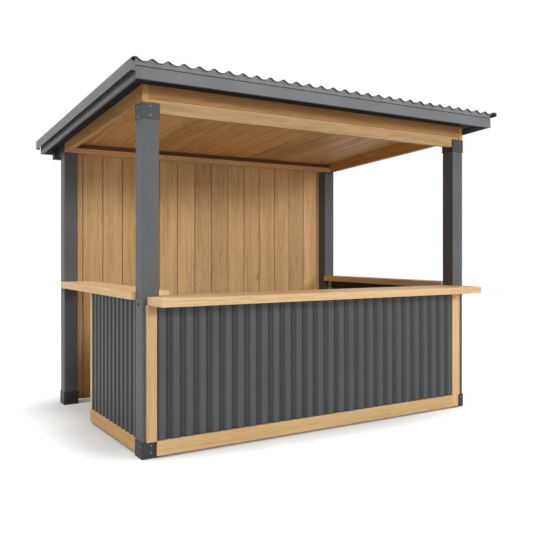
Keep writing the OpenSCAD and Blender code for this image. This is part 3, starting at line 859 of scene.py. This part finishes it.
# The verge trims. Two strips of folded steel along the sides of the sheet, each
# with a leg outside and a lip on a crest; the left one has a sloping shoulder, and
# thin caps that close its ends.
VERGE_SHOULDER = 0.01
VERGE_LIP = 0.008
LEFT_LEG = 0.087
RIGHT_LEG = 0.032
VERGE_EDGE = 0.0005
CAP_IN = 0.013

fascia_coat = coat_finish("fascia_coat", (0.162, 0.167, 0.174), 0.46)
low, high = roof_box("verge_trim")
top, under = high.z, high.z - SHEET_T
foot_left, foot_right = top - LEFT_LEG, top - RIGHT_LEG
fold, lip_end = -FIRST_CREST - VERGE_LIP, VERGE_LIP - FIRST_CREST
left_trim = [
    (low.x, foot_left), (low.x, top - VERGE_SHOULDER), (fold, top), (lip_end, top),
    (lip_end, under), (fold, under),
    (low.x + SHEET_T, under - VERGE_SHOULDER), (low.x + SHEET_T, foot_left),
]
last_crest = math.floor((sheet_right + FIRST_CREST) / ROOF_WAVE_W) * ROOF_WAVE_W - FIRST_CREST
lip_start = last_crest - VERGE_LIP
right_trim = [
    (lip_start, under), (high.x - SHEET_T, under), (high.x - SHEET_T, foot_right),
    (high.x, foot_right), (high.x, top), (lip_start, top),
]
add_bars(
    "verge_trim_folds", [bar(1, section, low.y, high.y) for section in (left_trim, right_trim)],
    VERGE_EDGE, 1, fascia_coat, ["verge_trim"], turn=to_roof,
)
cap_right = roof_box("eaves_closure")[0].x - SHEET_GAP
cap_top = sheet_middle - ROOF_WAVE_H / 2 - SHEET_T
end_caps = [
    box_bar((low.x + SHEET_T, run, foot_left), (cap_right, run + SHEET_T, cap_top), 1)
    for run in (low.y + CAP_IN, high.y - CAP_IN - SHEET_T)
]
add_bars("verge_end_caps", end_caps, VERGE_EDGE, 1, fascia_coat, [], turn=to_roof)


# The fascias. Folded steel boards round the roof; the side ones run past the ends
# of the front and the back one, and their edges are pressed to a small radius.
FASCIA_EDGE = 0.002

for side, axis in (("front", 0), ("back", 0), ("left", 1), ("right", 1)):
    node = "fascia_" + side
    add_bars(
        node + "_board", [box_bar(*roof_box(node), axis)], FASCIA_EDGE, axis,
        fascia_coat, [node], turn=to_roof,
    )


# The rail under the rear overhang and the arms that carry it. Dark coated steel,
# with a plate on the rear end of each rake board.
CHAMFER = 0.03
ARM_W = 0.04
PLATE_T = 0.004
STEEL_EDGE = 0.0012

soffit_drop = SOFFIT_T / math.cos(roof_pitch)
low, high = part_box("rear_eaves_rail")
outline = [
    (low.y + CHAMFER, low.z), (high.y, low.z), (high.y, ceiling_at(high.y) - soffit_drop),
    (low.y, ceiling_at(low.y) - soffit_drop), (low.y, low.z + CHAMFER),
]
add_bars(
    "rear_eaves_rail_steel", [bar(0, outline, low.x, high.x)], STEEL_EDGE, 0,
    shoe_coat, ["rear_eaves_rail"],
)
rail_face = low.y
arm_under = low.z + CHAMFER
wall_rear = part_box("back_wall_boards")[1].y
arms = []
for x0, x1 in ((post_corner.x, post_corner.x + ARM_W), (post_right_out - ARM_W, post_right_out)):
    arms.append(bar(0, [
        (wall_rear, arm_under), (rail_face, arm_under),
        (rail_face, ceiling_at(rail_face) - soffit_drop), (wall_rear, ceiling_at(wall_rear) - soffit_drop),
    ], x0, x1))
for x0, x1 in ((post_corner.x - PLATE_T, post_corner.x), (post_right_out, post_right_out + PLATE_T)):
    arms.append(bar(0, [
        (before_post, back_top), (wall_rear, back_top), (wall_rear, arm_under), (rail_face, arm_under),
        (rail_face, ceiling_at(rail_face) - soffit_drop),
        (before_post, ceiling_at(before_post) - soffit_drop),
    ], x0, x1))
add_bars("rear_arm_brackets", arms, STEEL_EDGE, 1, shoe_coat, ["rear_arms"])


# The back wall. Upright tongued boards fixed to the rear of the posts, with three
# rails behind them; the end boards are notched round the shoes.
WALL_BOARD_W = 0.19
FIRST_JOINT = 0.2
NOTCH_GAP = 0.0002

low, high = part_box("back_wall_boards")
shoe_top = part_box("shoe_back_left")[1].z + NOTCH_GAP
left_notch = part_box("shoe_back_left")[1].x + NOTCH_GAP
right_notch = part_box("shoe_back_right")[0].x - NOTCH_GAP
joints = [post_corner.x + FIRST_JOINT]
while joints[-1] + WALL_BOARD_W < high.x - BOARD_GAP:
    joints.append(joints[-1] + WALL_BOARD_W)
ends = [low.x - BOARD_GAP / 2, *joints, high.x + BOARD_GAP / 2]
planks = []
for a, b in zip(ends, ends[1:]):
    x0, x1 = a + BOARD_GAP / 2, b - BOARD_GAP / 2
    outline = [(x0, low.z), (x1, low.z), (x1, high.z), (x0, high.z)]
    if a < low.x:
        outline[:1] = [(x0, shoe_top), (left_notch, shoe_top), (left_notch, low.z)]
    if b > high.x:
        outline[1:2] = [(right_notch, low.z), (right_notch, shoe_top), (x1, shoe_top)]
    planks.append(bar(1, outline, low.y, high.y))
wall_wood = timber_finish(
    "oiled_wall_boards", (0.78, 0.492, 0.232), (0.53, 0.305, 0.132), (0.177, 0.088, 0.039),
)
add_bars("back_wall_planks", planks, BOARD_EDGE, 2, wall_wood, ["back_wall_boards"], seed=60)
tongue_front = low.y + TONGUE_DEPTH
tongues = [
    box_bar((x - BOARD_GAP, tongue_front, low.z), (x + BOARD_GAP, tongue_front + TONGUE_T, high.z), 2)
    for x in joints
]
add_bars("back_wall_tongues", tongues, TONGUE_EDGE, 2, tongue_wood, [], seed=60)

low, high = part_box("back_wall_rails")
rail_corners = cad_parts["back_wall_rails"].data.vertices
rail_levels = sorted({round(v.co.z, 4) for v in rail_corners})
rails = [
    box_bar((low.x, low.y, rail_levels[i]), (high.x, high.y, rail_levels[i + 1]), 0)
    for i in range(0, len(rail_levels), 2)
]
add_bars("back_wall_battens", rails, BEAM_EDGE, 0, sawn_wood, ["back_wall_rails"], seed=90)


# The counters. Thick planed boards with a paler oil: the front one reaches past
# the posts and is notched round them, the side ones lie between the posts.
COUNTER_EDGE = 0.003
counter_wood = timber_finish(
    "oiled_counter", (0.782, 0.538, 0.296), (0.614, 0.379, 0.187), (0.297, 0.158, 0.073), roughness=0.5,
)
low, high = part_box("front_counter")
post_right_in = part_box("post_front_right")[0].x
post_left_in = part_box("post_front_left")[1].x
outline = [
    (low.x, low.y), (high.x, low.y), (high.x, post_corner.y), (post_right_in, post_corner.y),
    (post_right_in, high.y), (post_left_in, high.y),
    (post_left_in, post_corner.y), (low.x, post_corner.y),
]
add_bars(
    "front_counter_top", [bar(2, outline, low.z, high.z)], COUNTER_EDGE, 0,
    counter_wood, ["front_counter"], seed=101,
)
for side in ("left", "right"):
    node = side + "_shelf"
    add_bars(
        node + "_top", [box_bar(*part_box(node), 1)], COUNTER_EDGE, 1,
        counter_wood, [node], seed=103 if side == "left" else 107,
    )


# The framing of the half-height walls. Planed stiles and rails, oiled; the top rails
# behind the sheets are near black as painted shade, to read as the shade under the
# counter and shelves. The front bottom rail is rebated over the left post, and the
# right stile is notched over its shoe.
frame_wood = timber_finish(
    "oiled_framing", (0.793, 0.53, 0.264), (0.618, 0.37, 0.164), (0.309, 0.165, 0.073),
)
low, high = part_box("front_stile_right")
notch = post_corner.x + RIGHT_CUT
shoe_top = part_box("shoe_front_right")[1].z
outline = [
    (low.x, low.z), (notch, low.z), (notch, shoe_top),
    (high.x, shoe_top), (high.x, high.z), (low.x, high.z),
]
add_bars(
    "front_stile_right_timber", [bar(1, outline, low.y, high.y)], BEAM_EDGE, 2,
    frame_wood, ["front_stile_right"], seed=111,
)
low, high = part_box("front_bottom_rail")
shoe_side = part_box("shoe_front_left")[1].x
outline = [
    (low.x, low.y), (high.x, low.y), (high.x, high.y), (shoe_side, high.y),
    (shoe_side, post_corner.y), (low.x, post_corner.y),
]
add_bars(
    "front_bottom_rail_timber", [bar(2, outline, low.z, high.z)], BEAM_EDGE, 0,
    frame_wood, ["front_bottom_rail"], seed=115,
)
# The side bottom rails get a darker copy of the framing wood: painted shade.
side_rail_shaded_wood = timber_finish(
    "side_rails_painted_shade", (0.64, 0.4, 0.18), (0.5, 0.28, 0.112), (0.25, 0.13, 0.055),
)
# Near-black finish for the top rails: painted shade.
top_rail_painted_shade_wood = timber_finish(
    "top_rails_painted_shade", (0.045, 0.042, 0.04), (0.03, 0.028, 0.027), (0.02, 0.018, 0.016),
)
for number, (node, along, finish) in enumerate((
    ("front_stile_left", 2, frame_wood), ("left_end_stile", 2, frame_wood),
    ("right_end_stile", 2, frame_wood),
    ("left_bottom_rail", 1, side_rail_shaded_wood), ("right_bottom_rail", 1, side_rail_shaded_wood),
    ("front_top_rail", 0, top_rail_painted_shade_wood), ("left_top_rail", 1, top_rail_painted_shade_wood),
    ("right_top_rail", 1, top_rail_painted_shade_wood),
)):
    add_bars(
        node + "_timber", [box_bar(*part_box(node), along)], BEAM_EDGE, along,
        finish, [node], seed=120 + number,
    )


# The wall sheets. Box-profile steel in a dark coat, stood upright on the bottom
# rails with the flat crests outwards; every fold has a small pressed radius.
WALL_WAVE_H = 0.016
FRONT_WAVE_W = 0.1
SIDE_WAVE_W = 0.085
CREST_SHARE = 0.4
TROUGH_SHARE = 0.15
FOLD = 0.004
FOLD_STEPS = (-1.0, -0.5, 0.0, 0.5, 1.0)
FIRST_FRONT_FOLD = 0.187
END_GAP = 0.001


def wall_finish(name, colour, roughness, contrast):
    """The sheets' coat: fine upright drawing lines, and painted shade that darkens the troughs."""
    material = coat_finish(name, colour, roughness, gloss=0.35)
    shader = material.node_tree.nodes["Principled BSDF"]
    start = Wire(shader.outputs[0])
    crest = start.make("Attribute", {"attribute_name": "crest"}, output="Fac")
    spot = start.make("TexCoord", output="Object")
    lines = {"Vector": spot.stretched(140.0, 140.0, 1.2), "Scale": 1.0, "Detail": 3.0}
    streaks = spot.make("TexNoise", {}, lines)
    plain = Wire(shader.inputs["Base Color"].links[0].from_socket)
    # Painted shade: darker towards the troughs and lighter on the crests, by the crest attribute.
    light = crest * contrast + (0.75 - contrast / 2) + (streaks - 0.5) * 0.24
    shaded = plain.make("VectorMath", {"operation": "SCALE"}, {0: plain, "Scale": light})
    shaded.feed(shader.inputs["Base Color"])
    return material


wall_coat = wall_finish("wall_coat", (0.062, 0.0645, 0.068), 0.42, 0.7)
# The side sheets get a darker copy of the coat with softer troughs: painted shade.
side_wall_shaded_coat = wall_finish("side_wall_shaded_coat", (0.054, 0.056, 0.059), 0.46, 0.3)
front_crest = post_corner.x + FIRST_FRONT_FOLD + FRONT_WAVE_W / 2
side_crest = behind_post + SIDE_WAVE_W / 2
for name, along, out, width, crest, finish in (
    ("front_sheet", 0, -1, FRONT_WAVE_W, front_crest, wall_coat),
    ("left_sheet", 1, -1, SIDE_WAVE_W, side_crest, side_wall_shaded_coat),
    ("right_sheet", 1, 1, SIDE_WAVE_W, side_crest, side_wall_shaded_coat),
):
    low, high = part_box(name)
    face = 1 - along
    level = (low[face] + high[face]) / 2

    def folded(s, width=width, crest=crest):
        """Share of the wave's height at a place along the sheet, folds softened."""
        total = 0
        for step in FOLD_STEPS:
            turn = (s + step * FOLD - crest) / width
            off = abs(turn - round(turn))
            rise = ((1 - TROUGH_SHARE) / 2 - off) * 2 / (1 - TROUGH_SHARE - CREST_SHARE)
            total += min(1, max(0, rise))
        return total / len(FOLD_STEPS)

    def upright(s, h, z, along=along, face=face):
        corner = Vector((0, 0, z))
        corner[along] = s
        corner[face] = h
        return corner

    start, end = low[along], high[along]
    crest_half, slope_foot = CREST_SHARE / 2, (1 - TROUGH_SHARE) / 2
    folds = [
        crest + (wave + off) * width + step * FOLD
        for wave in range(math.floor((start - crest) / width), math.ceil((end - crest) / width) + 1)
        for off in (-slope_foot, -crest_half, crest_half, slope_foot) for step in FOLD_STEPS
    ]
    stops = [start, *(s for s in folds if start + END_GAP < s < end - END_GAP), end]
    share = [folded(s) for s in stops]
    middle = [level + out * WALL_WAVE_H * (h - 0.5) for h in share]
    lower = [(s, m - out * SHEET_T / 2) for s, m in zip(stops, middle)]
    upper = [(s, m + out * SHEET_T / 2) for s, m in zip(stops, middle)]
    sheet = strip_mesh(name + "_steel", lower, upper, low.z, high.z, upright, 1)
    sheet.attributes.new("crest", "FLOAT", "POINT").data.foreach_set("value", share * 4)
    place_piece(name + "_steel", sheet, [finish, back_coat_and_painted_shade], [name])
